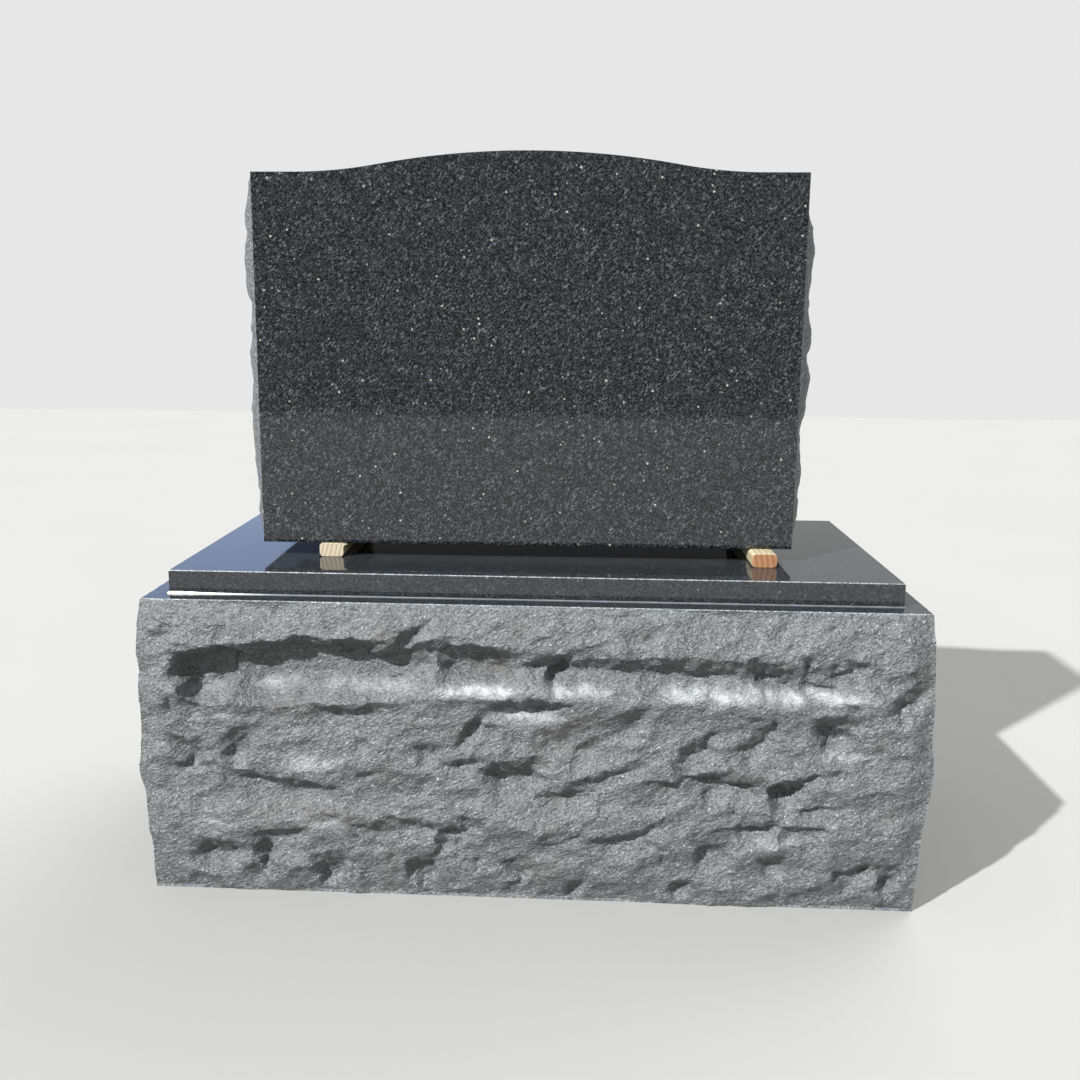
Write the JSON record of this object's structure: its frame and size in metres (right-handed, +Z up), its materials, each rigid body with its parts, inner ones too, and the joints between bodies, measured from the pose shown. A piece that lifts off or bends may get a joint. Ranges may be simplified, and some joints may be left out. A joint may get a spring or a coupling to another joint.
{
  "type": "headstone",
  "caption": "Serpentine-topped polished black granite tablet on timber spacers, over a polished slab and a rock-pitched base block.",
  "frame": {"origin": "centre of the base block's underside", "axes": "+X along the width, +Z up, the polished front faces -Y"},
  "size_m": [0.9347, 0.4704, 0.872],
  "materials": {
    "rock_pitched_granite": "rock-pitched faces with a polished top ledge",
    "polished_granite": "mirror polished, broken ends",
    "setting_compound": "smoothed bead",
    "timber": "planed, unfinished"
  },
  "bodies": {
    "root": {"base_block": "rock_pitched_granite", "plinth_slab": "polished_granite", "joint_bead": "setting_compound", "left_spacer": "timber", "right_spacer": "timber", "tablet": "polished_granite"}
  },
  "joints": []
}
